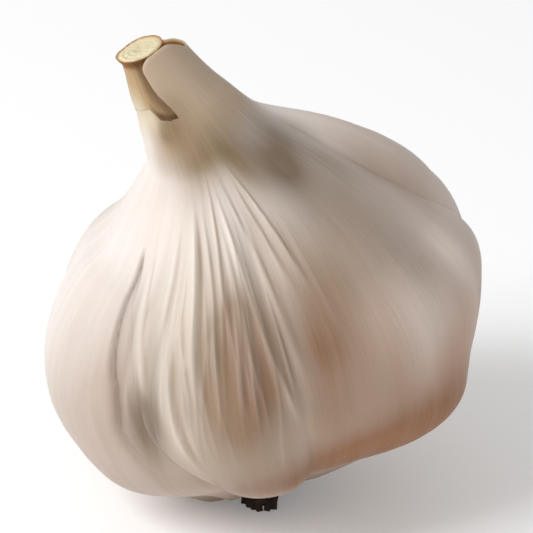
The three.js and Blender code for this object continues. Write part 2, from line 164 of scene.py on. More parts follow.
# Where the paints lie: middle angle and height, half width, half height, strength
SKIN_SPOTS = {
    "straw": (
        (-14, 38, 18, 9, 0.4), (-14, 24, 14, 7, 0.35), (20, 22, 20, 6, 0.2), (170, 38, 50, 10, 0.3),
    ),
    # A warm darker tone, in part a painted shade on the right side of the bulb and along the back clove
    "warm_and_shade": (
        (48, 41, 26, 9, 0.7), (12, 37, 11, 7, 0.5), (62, 35, 20, 8, 0.3), (180, 20, 70, 12, 0.6),
        (-160, 40, 24, 8, 0.3), (76, 43, 16, 6, 0.25), (98, 41, 14, 5.5, 0.9), (26, 41.5, 5, 4.5, 0.15),
        (30, 36, 9, 4, 0.35), (15, 45.5, 6, 5, 0.45), (33, 34, 12, 5, 0.3), (72, 45, 10, 3, 0.3),
        (62, 32.5, 7, 2.5, 0.25), (-16, 31, 3, 4, 0.3), (11, 33, 4, 4, 0.3), (-29, 33, 4, 7, 0.3),
        (-48, 42, 10, 8, 0.16), (-15, 20, 12, 5, 0.22), (-62, 34, 12, 9, 0.1), (-45, 54, 12, 3, 0.12),
        (-14, 43, 12, 7, 0.14), (-5, 43.5, 5, 6, 0.25), (-45, 21, 5, 5, 0.3), (-20, 42, 14, 8, 0.1),
        (-22, 51.5, 12, 3, 0.22),
    ),
    "blush": (
        (67, 24, 18, 7, 0.7), (38, 28, 14, 8, 0.6), (-85, 44, 30, 8, 0.1), (150, 34, 30, 8, 0.4),
        (50, 19, 16, 6, 0.5),
    ),
    "tan": (
        (24, 41, 5, 4, 0.25), (0, 34, 9, 6, 0.95), (-2, 25, 10, 6.5, 0.9), (8, 16, 20, 4, 0.4),
        (-8, 33, 3.5, 6, 0.6), (20, 25, 8, 5, 0.6), (40, 21, 16, 6, 0.4), (30, 36, 9, 5, 0.4),
        (-175, 24, 40, 8, 0.5), (3, 37, 5, 4, 0.35), (1, 32.5, 6, 6, 0.45), (-3, 36, 5, 4, 0.35),
        (10, 31, 6, 5, 0.35), (24, 35, 6, 4, 0.35), (-16, 34, 3, 5, 0.4), (-30, 22.5, 5, 5, 0.8),
        (30, 30, 7, 5, 0.2),
    ),
    "brown": (
        (4, 30.5, 6, 5, 0.8), (1, 31.5, 5, 5, 0.7), (-1, 35.5, 3, 4, 0.4), (23, 31, 8, 5, 1),
        (13, 33.5, 4, 5, 0.5), (36, 15.5, 26, 3, 0.9), (54, 16.5, 18, 4, 0.6), (-170, 26, 9, 6, 0.6),
        (130, 22, 8, 5, 0.5), (16, 14.8, 36, 2.2, 0.7), (46, 10.5, 44, 3.4, 0.42),
    ),
    # Olive at the neck's foot, with painted shade on its right where the neck shades the shoulder
    "olive_and_shade": (
        (8, 53.5, 44, 4, 0.95), (-14, 58, 18, 2.4, 0.75), (-25, 58.2, 8, 1.6, 0.4), (-40, 60, 9, 3, 0.3),
        (32, 49, 13, 3, 0.4), (8, 60.5, 16, 3, 0.45), (28, 49.6, 10, 3.5, 0.32), (-8, 51, 12, 2.5, 0.2),
        (92, 49, 8, 2.5, 0.4),
    ),
    # Orange-brown low on the right and on the back clove, in part a painted warm reflection from beside
    # the bulb
    "rust_and_reflection": (
        (54, 21, 14, 5, 0.15), (92, 38, 14, 6, 0.22), (14, 21, 12, 5, 0.12), (48, 16, 34, 4, 0.6),
        (64, 22, 16, 6, 0.2), (25, 23, 14, 6, 0.22), (32, 16, 18, 2.5, 0.4), (46, 11, 40, 3.4, 0.3),
        (100, 38, 12, 4, 0.12),
    ),
    # Grey-brown: the grey band beside the seam, and painted shade, that is the neck's shadow on the
    # right shoulder and the dark of the pocket and hollows beside the seam
    "grey_and_shade": (
        (38, 48, 13, 4, 0.4), (-31, 23, 6, 5.5, 0.85), (-36, 33, 5, 8, 0.4), (-22, 28, 5, 7, 0.55),
        (-13, 29.5, 3.5, 5, 0.35), (-23, 35, 5, 4, 0.25), (-26, 26, 4.5, 4.5, 0.65),
        (55, 47.6, 19, 3.8, 0.5), (68, 49.7, 20, 3.4, 0.47), (40, 51.6, 20, 3.2, 0.32),
        (48, 46, 8, 2.5, 0.28), (76, 52.3, 18, 3, 0.35), (44, 43, 14, 5, 0.25), (-150, 38, 14, 8, 0.3),
    ),
    # Pale patches and streaks, and a painted highlight on the lit left lobe's rim, the upper left and
    # the back clove
    "pale": (
        (-30, 48, 20, 4, 0.3), (106, 42, 12, 8, 0.7), (13, 22, 2.4, 6, 0.2), (77, 31.5, 6, 4.5, 1.0),
        (92, 35, 10, 5, 0.3), (50, 28.5, 7, 5, 0.45), (-100, 33, 24, 12, 0.5), (60, 28, 8, 4, 0.5),
        (50, 24, 6, 5, 0.3),
    ),
    # White on the left lobe, in part a painted highlight on its lit side
    "white_and_highlight": ((-98, 28, 24, 16, 0.6), (-60, 44, 26, 7, 0.3)),
}

# The inner side of the left lobe, beside the seam, takes more of the low paint as a painted shade
LEFT_LOBE_SHADE = ((-44, 28, 9, 9, 0.35),)

# Where the skin is gathered into pleats, with painted shade in the valleys between them
SHADED_VALLEYS = ((-8, 37, 26, 8, 0.8), (175, 42, 60, 8, 0.7))

# How the paints that follow the skin's form come and go; several of them are painted light and shade
# A painted shade, stronger towards the bottom of the bulb
LOW_SHADE = {"end": (44, 24), "most": 1.35}
DRY = {"start": (51, 5), "left_start": (-64, 50), "least": 0.1}
# A painted highlight on the crests, dulled where tan and warm paint lie
CREST_HIGHLIGHT = {"share": 0.4, "tall": 0.6, "dulled": 0.6}
CREAM = {"share": 0.8, "start": (56.5, 4), "end": (-14, 26)}
# Painted shade in the valleys between the pleats, and at the foot of their steep sides near the front
VALLEY_SHADE = {"share": 0.4, "relief": 0.22, "front": 60, "most": 0.9}
PLEATS_END = (52, 6)
# Painted shade in the creases between the cloves
CREASE_SHADE = {"share": 0.5, "sharpness": 14, "deep": 2.6, "end": (52, 8)}
# Painted shade along the seam's groove
SEAM_SHADE = {"share": 0.9, "over": 0.45, "start": (18, 9)}
FOOT_BROWN = ((0.5, 12, 7), (0.35, 8.5, 3))

# The sheath of the neck stands a little below the stalk's cut. On its left side it is torn away down
# to a hem, and its free edge at the front is rounded at the top corner and leans to the left.
SHEATH = 0.35
RIM = {"front": -0.6, "back": 2.0, "start": (42, 50), "radius": 4}
TORN = {"from": -178, "to": 4, "ease": 14, "end": 2.5}
HEM = {"height": 58.5, "rise": 1.1, "over": 26, "end": 1.6, "end_start": (21, 10), "thin": 0.33,
       "reach": 3.2}
FLAP = {"corner": 26, "drop": 1.8, "lean": 10.5, "over": 5.5, "lean_wide": 40, "out": 0.3,
        "out_wide": 18}

# The inside of the sheath, from the rim down to the hole's floor: the share of the way down, and
# the thickness there as a multiple of the sheath's
INNER_WALL = np.array([[0, 0.5], [0.04, 1], [0.35, 1.3], [0.7, 1.9], [1, 2.4]])
RIM_CREST = 0.08
LEAST_WALL = 0.04
HOLE_FLOOR = 55.5

# The stalk in the neck. At its top it shifts to the left, narrows, is flattened at the back and ends
# in a lip, and the cut face has rings at shares of its radius, shallow steps and a hollow middle.
FIT_GAP = 0.35
STALK_GAP = 0.1
STALK_TOP = {"shift": -0.5, "narrow": 1.5, "from": 61.3, "lip": 0.45, "lip_tall": 1.1,
             "flat": 0.55, "flat_at": -138, "flat_wide": 36, "flat_start": (60, 5)}
STALK_FOOT = {"narrow": 0.5, "tall": 3.5, "over": 3}
FACE_RINGS = np.array([0.97, 0.93, 0.88, 0.83, 0.79, 0.74, 0.68, 0.63, 0.57, 0.5, 0.44, 0.38, 0.3,
                       0.22, 0.14, 0.07])[:, None]
FACE_STEPS = {"tall": 0.07, "count": 4.2, "low": 0.1, "hollow": 0.2, "hollow_wide": 0.16,
              "middle": 0.4, "grain": 60, "rise": 4}

# The stalk's colours, and where they lie: the painted shade beside the flap and in the notch at its
# foot, the brown just under the lip, the painted shade on the far edge of the cut face, and the light
# left side
STALK_COLOURS = {"straw": (186, 158, 118), "ribs": (170, 141, 100), "light": (214, 202, 180),
                 "brown_and_shade": (138, 88, 30), "shade": (84, 54, 16), "face": (238, 227, 190),
                 "rings": (214, 190, 138), "edge": (186, 136, 72), "specks": (160, 124, 78)}
STALK_SHADE = {"share": 0.75, "from_flap": 8, "wide": 14, "start": (57.5, 2),
               "notch": 0.5, "notch_tall": 0.9, "notch_start": (-34, 12)}
STALK_BROWN_AND_SHADE = {"start": (-1.7, 0.9), "face": 0.85, "face_at": 38, "face_wide": 52,
               "face_start": (0.74, 0.18)}
STALK_LIGHT = {"end": (65, 5), "left_end": (-28, 30)}

# The root plate, as radius and height, and its roots: thick ones in a spiral and in a tuft at the
# front, and fine ones between them. The spiral has a start, a length and a level, each a range and
# the step through it from one root to the next. The fine roots are drawn from the ranges of their
# start, how much shorter they are in the tuft, their length and their level.
PLATE_PROFILE = np.array([
    [0, 5.1], [4.9, 5], [6.2, 4.5], [6.4, 3.7], [5.4, 2.8], [3.9, 2.2], [3, 1.1], [2.7, -2], [0, -2.0],
])
PLATE_MIDDLE = (-1, 1.3)
PLATE_TRIM = {"share": 0.985, "less": 0.1, "least": 0.05, "full_radius": 5}
ROOT_RADIUS = (0.62, 0.5)
ROOT_SIDEWAYS = np.array([0.31, 0.17, 0.93])
ROOT_TOP = 3.9
ROOT_BOW = 5
ROOT_CURVE = {"out": 0.8, "down": 1.4}
ROOTS = 44
SPIRAL_RANGES = ((3.2, 5.8, 0.7549), (0.4, 1.3, 0.57), (0.4, 2.2, 0.43))
TUFT = {"angle": -21, "step": 6.5, "count": 6, "start": 4.8, "reach": 8.4, "longest": -17.5,
        "taper": 0.045, "level": 0.2, "first_higher": 0.5}
ROOT_SEED = 41
FINE_ROOTS = 148
FINE_TUFT = {"count": 44, "spread": 9, "start": 4.6, "thick": (0.65, 0.95)}
FINE_RANGES = ((1.5, 5.2), (0.1, 1.0), (0.3, 1.4), (0.2, 2.2))
FINE_THICK = (0.4, 0.75)
WORN = {"angle": 70, "wide": 65, "level": 3.4, "most": 1.6, "inward": 0.35}
# The root plate's colours, darkened to near black as a painted shade under the bulb
ROOT_SHADED_COLOURS = {"cork": (34, 22, 15), "dark_cork": (18, 11, 7), "root": (38, 24, 16),
                "trimmed": (64, 38, 22), "specks": (20, 12, 8)}

# The shared effects: how rough their noise is, the scale of the broad fibres and of the specks as
# multiples of the fine fibres' and the patches', and the stretch of the noise that each one shows
NOISE_ROUGHNESS = 0.55
BROAD_SCALE = 0.27
SPECK_SCALE = 9.0
FIBRES_SHOW = (0.3, 0.7)
PATCHES_SHOW = (0.32, 0.68)
SPECKS_SHOW = (0.6, 0.75)

# The finishes: cells of the fibres and of the streaks across and along the grain, the scale of the
# mottling, the range of the roughness, how strong and deep the bumps are, and how far each effect
# shows
SKIN_GRAIN = {"Across": 380.0, "Along": 7.0}
SKIN_STREAKS = {"Across": 96.0, "Along": 2.6}
SKIN_FINISH = {"mottles": 75.0, "rough": (0.44, 0.6), "bump": (0.14, 0.00012)}
SKIN_DEPTH = {"Subsurface Weight": 0.1, "Subsurface Radius": (1.0, 0.7, 0.5),
              "Subsurface Scale": 0.001, "Specular IOR Level": 0.35}
PAINT_BREAKS = (0.84, 1.0)
FIBRE_SHARE = 0.09
STREAK_SHARE = 0.08
STALK_GRAIN = {"Across": 120.0, "Along": 8.0}
STALK_FINISH = {"mottles": 220.0, "rough": (0.55, 0.75), "bump": (0.5, 0.0002)}
FACE_FINISH = {"rings": 26.4, "ring_share": 0.3, "edge": 0.16, "specks": 0.3}
ROOT_FINISH = {"mottles": 260.0, "rough": (0.8, 0.95), "bump": (0.6, 0.0004)}
ROOT_SHARES = {"root": 0.35, "trimmed": 0.4}
FLOOR_COLOURS = {"plain": (246, 246, 246), "dull": (244, 244, 245)}
FLOOR_MOTTLES = 3.0
FLOOR_FINISH = {"Roughness": 0.9, "Emission Color": (1, 1, 1, 1), "Emission Strength": 0.17}

# The table, the room's even light, the key light and the camera, in metres
FLOOR_SIZE = 60.0
ROOM_LIGHT = 0.5
KEY_LIGHT = {"at": (-0.7, -0.42, 0.74), "size": 0.6, "power": 8.6, "aim": (0, 0, 0.03)}
CAMERA_ELEVATION = math.radians(25)
CAMERA_DISTANCE = 0.6
CAMERA_AIM = Vector((-0.00162, 0, 0.0325))
CAMERA_RAISE = 0.0002
FRAME_WIDTH = 0.0713
SENSOR = 36.0

# How finely the surfaces are divided
SKIN_COLUMNS = (104, 150, 112, 50, 46, 46)
BODY_ROWS = 150
NECK_ROWS = 26
NECK_SAMPLES = 500
STALK_COLUMNS = 144
STALK_ROWS = 40
PLATE_COLUMNS = 96
PLATE_ROWS = 36
ROOT_SIDES = 6
ROOT_ROWS = 5

# One turn of the grain pattern runs round the bulb, and as much again up this height
GRAIN_HEIGHT = 70


def ease(x):
    """Smooth step from 0 to 1."""
    x = np.clip(x, 0, 1)
    return x * x * (3 - 2 * x)


def rise(x, start, over):
    """0 up to the start, eased to 1 over a distance."""
    return ease((x - start) / over)


def fall(x, end, over):
    """1, eased down over a distance to 0 at the end."""
    return ease((end - x) / over)


def within(x, start, over, end, out_over):
    """A rise and then a fall."""
    return rise(x, start, over) * fall(x, end, out_over)


def bell(x):
    """A bell curve of height 1."""
    return np.exp(-x * x)


def blend(a, b, share):
    return a + (b - a) * share


def apart(angle, other):
    """Degrees from one angle to another the short way round."""
    return np.mod(angle - other + 180, 360) - 180


def angle_left(angle):
    """The angle from -180 to 180, with all of the right-hand side counted as zero."""
    return np.minimum(apart(angle, 0), 0)


def spline(points, at):
    """Uniform Catmull-Rom curve through the points; at counts points from the first."""
    last = len(points) - 1
    i = np.clip(np.floor(at).astype(int), 0, last - 1)
    t = (at - i)[..., None]
    before, a = points[np.maximum(i - 1, 0)], points[i]
    b, after = points[i + 1], points[np.minimum(i + 2, last)]
    slope_a, slope_b = (b - before) / 2, (after - a) / 2
    cubic = 2 * a - 2 * b + slope_a + slope_b
    square = -3 * a + 3 * b - 2 * slope_a - slope_b
    return cubic * t**3 + square * t**2 + slope_a * t + a


def place(height, right, back):
    """Points at heights along the bent axis and offsets across it, with the whole bulb leaning:
    below the bend the axis is straight, through it an arc of a circle, above it straight again."""
    bend_radius = (BEND[1] - BEND[0]) / NECK_LEAN
    turned = np.clip((height - BEND[0]) / bend_radius, 0, NECK_LEAN)
    over = np.maximum(height - BEND[1], 0)
    x = -bend_radius * (1 - np.cos(turned)) - over * np.sin(turned) + right * np.cos(turned)
    z = (np.minimum(height, BEND[0]) + bend_radius * np.sin(turned) + over * np.cos(turned)
         + right * np.sin(turned))
    across = x * math.cos(LEAN) - z * math.sin(LEAN)
    up = x * math.sin(LEAN) + z * math.cos(LEAN)
    return np.stack(np.broadcast_arrays(across, back, up), axis=-1)


def spots_at(angle, height, spots):
    """Soft round spots added up: middle angle and height, half width, half height, strength."""
    return sum(strength * bell(apart(angle, middle) / wide) * bell((height - at) / tall)
               for middle, at, wide, tall, strength in spots)


def on_axis(height, right=0.0):
    return place(np.array(height), right, 0.0)


def around(height, radius, angle):
    turn = np.radians(angle)
    return place(height, radius * np.sin(turn), -radius * np.cos(turn))


def lattice_noise(angle, height, across, along, seed):
    """Smooth seeded noise from -1 to 1: random values on a lattice of so many cells round the bulb
    and so many millimetres up it, eased from each lattice point to the next."""
    values = np.random.default_rng(seed).uniform(-1, 1, (NOISE_ROWS, across))
    right, up = np.broadcast_arrays(np.mod(angle, 360) / 360 * across, height / along + NOISE_START_ROW)
    column, row = np.floor(right).astype(int), np.floor(up).astype(int)
    sideways, upwards = ease(right - column), ease(up - row)
    column, after = column % across, (column + 1) % across
    row, above = row % NOISE_ROWS, (row + 1) % NOISE_ROWS
    low = blend(values[row, column], values[row, after], sideways)
    high = blend(values[above, column], values[above, after], sideways)
    return blend(low, high, upwards)


def layered_noise(angle, height, layers):
    return sum(size * lattice_noise(angle, height, *lattice) for size, *lattice in layers)


def clove_edges(height):
    """Angles of the cloves' left edges at each height, with the first one again at the end."""
    foot, belly, shoulder = EDGE_LEVELS
    edges = blend(CLOVE_EDGES[:, 0], CLOVE_EDGES[:, 1], rise(height, foot, belly - foot)[..., None])
    edges = blend(edges, CLOVE_EDGES[:, 2], rise(height, belly, shoulder - belly)[..., None])
    return np.concatenate([edges, edges[..., :1] + 360], axis=-1)


def in_clove(angle, height):
    """Which clove each place is on, how near it is to that clove's edges, from 0 in its middle to
    1 on the crease, and which crease is the nearest."""
    edges = clove_edges(height)
    turned = edges[..., 0] + np.mod(angle - edges[..., 0], 360)
    index = (turned[..., None] >= edges[..., 1:-1]).sum(axis=-1)
    left = np.take_along_axis(edges, index[..., None], -1)[..., 0]
    right = np.take_along_axis(edges, index[..., None] + 1, -1)[..., 0]
    share = (turned - left) / (right - left)
    return index, np.abs(2 * share - 1), np.where(share < 0.5, index, (index + 1) % len(SWELL))


def crease_depth(index, height):
    levels = [bell((height - at) / spread) for at, spread in CREASE_LEVELS]
    return sum(CREASES[index, i] * level for i, level in enumerate(levels))


def all_pleats():
    """The front pleats as listed, and the others spread over the back by the golden ratio."""
    pleats = list(FRONT_PLEATS)
    for i in range(1, OTHER_PLEATS["count"] + 1):
        length = (i * GOLDEN * GOLDEN * 3) % 1
        middle = OTHER_PLEATS["middle"] + OTHER_PLEATS["spread"] * ((i * GOLDEN) % 1)
        low = middle + OTHER_PLEATS["slant"] * math.sin(i)
        low_height, tall = (blend(*OTHER_PLEATS[size], length) for size in ("low", "tall"))
        pleats.append((middle, OTHER_PLEATS["top"], low, low_height, tall, OTHER_PLEATS["wide"]))
    return pleats


def pleat_relief(angle, height):
    """Each pleat is a crest that falls away as an exponential of the angle from its middle, steeper on
    its right. It runs slanting from its upper end to its lower one, wanders a little, and fades out at
    both. Returns the relief, and how deep each place lies at the foot of a steep side, which is where a
    painted shade is laid."""
    relief = np.zeros(np.broadcast(angle, height).shape)
    foot = np.zeros(relief.shape)
    for i, (top, top_height, low, low_height, tall, wide) in enumerate(all_pleats()):
        share = np.clip((height - low_height) / (top_height - low_height), 0, 1)
        wander = np.sin(height * PLEAT_WANDER["per_mm"] + i * PLEAT_WANDER["step"])
        away = apart(angle, blend(low, top, share) + PLEAT_WANDER["wide"] * wander)
        fade = tall * within(height, low_height, PLEAT_FADE, top_height, PLEAT_FADE)
        steep = PLEAT_RIGHT * wide
        relief += fade * np.exp(-(np.abs(away) / np.where(away < 0, wide, steep)) ** PLEAT_SHARPNESS)
        foot += fade * bell((away - PLEAT_FOOT_SHADE["at"] * steep) / (PLEAT_FOOT_SHADE["wide"] * steep))
    return relief, foot


def fine_pleats(angle, height):
    """Seeded fine crests between the pleats, close together at the front, each with its own
    stretch of the height. Each falls away as an exponential of the angle from its middle."""
    random = np.random.default_rng(FINE_SEED)
    relief = np.zeros(np.broadcast(angle, height).shape)
    for side in FINE_PLEATS:
        spread = random.normal if side["bunched"] else random.uniform
        for _ in range(side["count"]):
            middle = spread(*side["middle"])
            top = random.uniform(*side["top"])
            foot = top - random.uniform(*FINE_LENGTH)
            tall = random.uniform(*side["tall"])
            wide = random.uniform(*FINE_WIDE)
            wave = height * random.uniform(*FINE_WANDER["per_mm"])
            wave = wave + random.uniform(*FINE_WANDER["phase"])
            away = np.abs(apart(angle, middle + FINE_WANDER["wide"] * np.sin(wave)))
            fade = within(height, foot, FINE_FADE["in"], top + FINE_FADE["past"], FINE_FADE["out"])
            relief += tall * fade * np.exp(-away / wide)
    return relief


def left_seam(angle, height):
    """Depth of the groove where the left clove's skin tucks under: a thin deep line a few degrees
    to the left of that crease, and from there a band that rises gently to the right."""
    away = apart(angle, np.interp(height, *SEAM_PATH))
    grooves = sum(deep * np.exp(-np.abs(away) / np.where(away < 0, left, right))
                  for deep, left, right in SEAM_GROOVES)
    return grooves * within(height, *SEAM_SPAN)


def collar_depth(angle, height):
    """Depth of the waist under the neck, less the ring that swells below it."""
    below = height - COLLAR["height"] + COLLAR["dip"] * np.cos(np.radians(angle))
    deep = COLLAR["deep"] + COLLAR["front_deep"] * bell((angle - COLLAR["front"]) / COLLAR["wide"])
    ring = bell((below + COLLAR["ring"]) / COLLAR["ring_tall"])
    return deep * (bell(below / COLLAR["tall"]) - COLLAR["ring_share"] * ring)


def skin(radius, height, angle):
    """Points of the skin: a turned outline, pushed out by each clove between its creases, pressed
    in by the dents and the collar, and raised along the pleats. Nothing goes below the table."""
    index, near_edge, nearest = in_clove(angle, height)
    edge = near_edge ** CREASE_SHARPNESS
    crest = 1 - edge
    outward = SWELL[index] * crest * within(height, *SWELL_SPAN) - crease_depth(nearest, height) * edge
    outward = outward - spots_at(angle, height, DENTS)
    lift = LIFT[index] * crest * within(height, *LIFT_SPAN)
    hang = HANG[index] * crest * fall(height, *HANG_END) * rise(radius, *HANG_START_RADIUS)
    out = radius + outward * np.minimum(radius / FULL_RADIUS, 1)
    out = out - collar_depth(angle, height) - left_seam(angle, height)
    out = out + pleat_relief(angle, height)[0] + fine_pleats(angle, height)
    out = out + layered_noise(angle, height, SKIN_CRINKLE) * rise(radius, *CRINKLE_START_RADIUS)
    points = around(height + lift - hang, out, angle)
    points[..., 2] = np.maximum(points[..., 2], 0)
    return points


NECK_LINE = spline(OUTLINE, np.linspace(NECK_START - 0.5, len(OUTLINE) - 1, NECK_SAMPLES))


def neck_radius(height):
    return np.interp(height, NECK_LINE[:, 1], NECK_LINE[:, 0])


def cut_at(right, back):
    """Height of the knife's slanting cut at an offset from the axis."""
    return CUT_HEIGHT + CUT_SLOPE[0] * right + CUT_SLOPE[1] * back


def torn_share(angle):
    """1 where the sheath is torn down to the hem, 0 where it stands, eased between them."""
    along = np.mod(angle - TORN["from"], 360)
    left = TORN["to"] - TORN["from"] - along
    return np.minimum(ease(along / TORN["ease"]), ease(left / TORN["end"]))


def sheath_rim(angle):
    """Height of the sheath's edge: a little under the knife's cut where it stands, rounded off
    like a quarter circle at its torn corner, and a ragged low hem where it is torn away."""
    turn = np.radians(angle)
    cut = cut_at(RIM["radius"] * np.sin(turn), -RIM["radius"] * np.cos(turn))
    past = np.mod(angle - TORN["to"], 360)
    corner = 1 - np.sqrt(1 - np.clip(1 - past / FLAP["corner"], 0, 1) ** 2)
    below = blend(RIM["front"], RIM["back"], rise(past, *RIM["start"]))
    stands = cut - below - FLAP["drop"] * corner + layered_noise(angle, 0, RIM_RAGGED)
    left = -apart(angle, 0)
    hem = HEM["height"] + HEM["rise"] * np.clip(left / HEM["over"], 0, 1)
    hem = hem + HEM["end"] * rise(left, *HEM["end_start"]) + layered_noise(angle, 0, HEM_RAGGED)
    return blend(stands, hem, torn_share(angle))


def hem_thinning(angle, height):
    """How far the skin thins towards the hem, so that it lies close on the stalk there."""
    return HEM["thin"] * torn_share(angle) * rise(height, sheath_rim(angle) - HEM["reach"], HEM["reach"])


def flap_at(angle, height):
    """How far the sheath's free edge leans to the left, in degrees, and how far it stands out."""
    up = rise(height, HEM["height"], FLAP["over"])
    away = apart(angle, TORN["to"])
    return (FLAP["lean"] * up * bell(away / FLAP["lean_wide"]),
            FLAP["out"] * up * bell(away / FLAP["out_wide"]))


def in_scene(name, data):
    """An object of some data, linked into the scene."""
    made = bpy.data.objects.new(name, data)
    bpy.context.scene.collection.objects.link(made)
    return made


def mesh_object(name, points, faces, corner_uv):
    """A smooth-shaded mesh from points in millimetres, with one UV pair for each face corner."""
    mesh = bpy.data.meshes.new(name)
    mesh.from_pydata((points * MM).tolist(), [], faces)
    layer = mesh.uv_layers.new(name="grain")
    layer.data.foreach_set("uv", corner_uv.astype(np.float32).ravel())
    mesh.shade_smooth()
    mesh.update()
    return in_scene(name, mesh)


def set_attribute(piece, name, values):
    layer = piece.data.attributes.new(name, "FLOAT", "POINT")
    layer.data.foreach_set("value", values.astype(np.float32).ravel())


def paint_rings(piece, name, values, shape, last=0):
    """A painted share on the points of a closed skin: 0 at the first pole, then the rings."""
    rings = np.broadcast_to(values, shape).ravel()
    set_attribute(piece, name, np.concatenate([[0], rings, [last]]))


def ring_faces(rows, columns):
    """Faces over rings of points with a pole before them and a pole after them: the fan at the
    first pole, the quads between the rings, and the fan at the last pole."""
    here = np.arange(columns)
    after = (here + 1) % columns
    low = 1 + np.arange(rows - 1)[:, None] * columns
    last = 1 + rows * columns
    start = np.stack([np.zeros_like(here), 1 + after, 1 + here], -1)
    quads = np.stack([low + here, low + after, low + columns + after, low + columns + here], -1)
    end = np.stack([np.full_like(here, last), last - columns + here, last - columns + after], -1)
    return start, quads.reshape(-1, 4), end


def closed_skin(name, rings, ring_uv, first_pole, last_pole):
    """A closed mesh over rings of points: quads between rings, and a fan to a pole at each end.
    The UV runs once round each ring, so the last quad of a ring ends at its start plus one."""
    rows, columns, _ = rings.shape
    points = np.vstack([first_pole, rings.reshape(-1, 3), last_pole])
    after = (np.arange(columns) + 1) % columns
    wrap = np.stack([(after == 0) * 1.0, np.zeros(columns)], -1)
    uv_next = ring_uv[:, after] + wrap
    quad_uv = np.stack([ring_uv[:-1], uv_next[:-1], uv_next[1:], ring_uv[1:]], 2)
    start_uv = np.stack([ring_uv[0], uv_next[0], ring_uv[0]], 1)
    end_uv = np.stack([ring_uv[-1], ring_uv[-1], uv_next[-1]], 1)
    faces = [face for part in ring_faces(rows, columns) for face in part.tolist()]
    corner_uv = np.vstack([start_uv.reshape(-1, 2), quad_uv.reshape(-1, 2), end_uv.reshape(-1, 2)])
    return mesh_object(name, points, faces, corner_uv)


def skin_columns(height):
    """Angle of every column at each height: each clove has its own count, evenly across it."""
    index = np.repeat(np.arange(len(SKIN_COLUMNS)), SKIN_COLUMNS)
    share = np.concatenate([np.arange(n) / n for n in SKIN_COLUMNS])
    edges = clove_edges(height)
    return blend(edges[..., index], edges[..., index + 1], share)


def papery_skin():
    """The whole skin with the neck's sheath: rows up the outline, on up the neck to the torn rim,
    over the rim and down inside to the floor of the stalk's hole. Returns it with the angle and
    height of the points in its rings."""
    body = spline(OUTLINE, np.linspace(0, NECK_START, BODY_ROWS + 1)[1:])
    body_height = np.repeat(body[:, 1:], sum(SKIN_COLUMNS), axis=1)
    neck_angle = skin_columns(np.array([CUT_HEIGHT]))
    rim = sheath_rim(neck_angle)
    neck_height = blend(OUTLINE[NECK_START, 1], rim, np.linspace(0, 1, NECK_ROWS + 1)[1:, None])
    height = np.vstack([body_height, neck_height])
    angle = np.vstack([skin_columns(body[:, 1]), np.repeat(neck_angle, NECK_ROWS, axis=0)])
    radius = np.vstack([np.broadcast_to(body[:, :1], body_height.shape), neck_radius(neck_height)])
    lean, out = flap_at(angle, height)
    neck_rows = np.arange(len(height))[:, None] >= BODY_ROWS
    thin = np.where(neck_rows, hem_thinning(angle, height), 0)
    outer = skin(radius + out - thin, height, angle - lean)
    down, thick = INNER_WALL[:, :1], SHEATH * INNER_WALL[:, 1:]
    inner_height = blend(rim, HOLE_FLOOR, down)
    lean, out = flap_at(neck_angle, inner_height)
    thick = np.maximum(thick, hem_thinning(neck_angle, inner_height) + LEAST_WALL)
    inner_radius = neck_radius(inner_height) + out - thick
    inner = around(inner_height + RIM_CREST * (down == 0), inner_radius, neck_angle - lean)
    angle = np.vstack([angle, np.repeat(neck_angle, len(INNER_WALL), axis=0)])
    height = np.vstack([height, inner_height])
    grain = np.stack([(angle - clove_edges(height)[..., 0]) / 360, height / GRAIN_HEIGHT], -1)
    piece = closed_skin("papery_skin", np.vstack([outer, inner]), grain,
                        on_axis(OUTLINE[0, 1]), on_axis(HOLE_FLOOR))
    return piece, angle, height


def paint_stalk(piece, angle, level):
    """Shares of the stalk's paints, for the rows of its sides and of its cut face: painted shade beside
    the flap and in the notch at its foot, brown just under the lip, painted shade on the far edge of the
    cut face, and light on the left."""
    flap_edge = TORN["to"] - flap_at(TORN["to"], level)[0]
    beside = bell((apart(angle, flap_edge) + STALK_SHADE["from_flap"]) / STALK_SHADE["wide"])
    beside = beside * rise(level, *STALK_SHADE["start"])
    notch = bell((level - sheath_rim(angle) - STALK_SHADE["notch"]) / STALK_SHADE["notch_tall"])
    notch = notch * rise(angle_left(angle), *STALK_SHADE["notch_start"])
    # A painted shade on the far edge of the cut face
    face_shade = STALK_BROWN_AND_SHADE["face"] * bell(apart(angle, STALK_BROWN_AND_SHADE["face_at"]) / STALK_BROWN_AND_SHADE["face_wide"])
    face_shade = face_shade * rise(FACE_RINGS, *STALK_BROWN_AND_SHADE["face_start"])
    light = fall(level, *STALK_LIGHT["end"]) * fall(angle_left(angle), *STALK_LIGHT["left_end"])
    inward = np.vstack([np.zeros((STALK_ROWS, 1)), 1 - FACE_RINGS])
    shape = (len(inward), STALK_COLUMNS)
    paint_rings(piece, "inward", inward, shape, last=1)
    paint_rings(piece, "cut", np.arange(len(inward))[:, None] >= STALK_ROWS - 1, shape, last=1)
    shares = {
        "shade": (np.maximum(STALK_SHADE["share"] * beside, notch), 0),
        # Brown just under the lip on the sides, and on the cut face the painted shade at its far edge
        "under": (rise(level - CUT_HEIGHT, *STALK_BROWN_AND_SHADE["start"]), face_shade),
        "light": (light, 0),
    }
    for name, (sides, face) in shares.items():
        values = np.zeros(shape)
        values[:STALK_ROWS] = sides
        values[STALK_ROWS:] = face
        paint_rings(piece, name, values, shape)


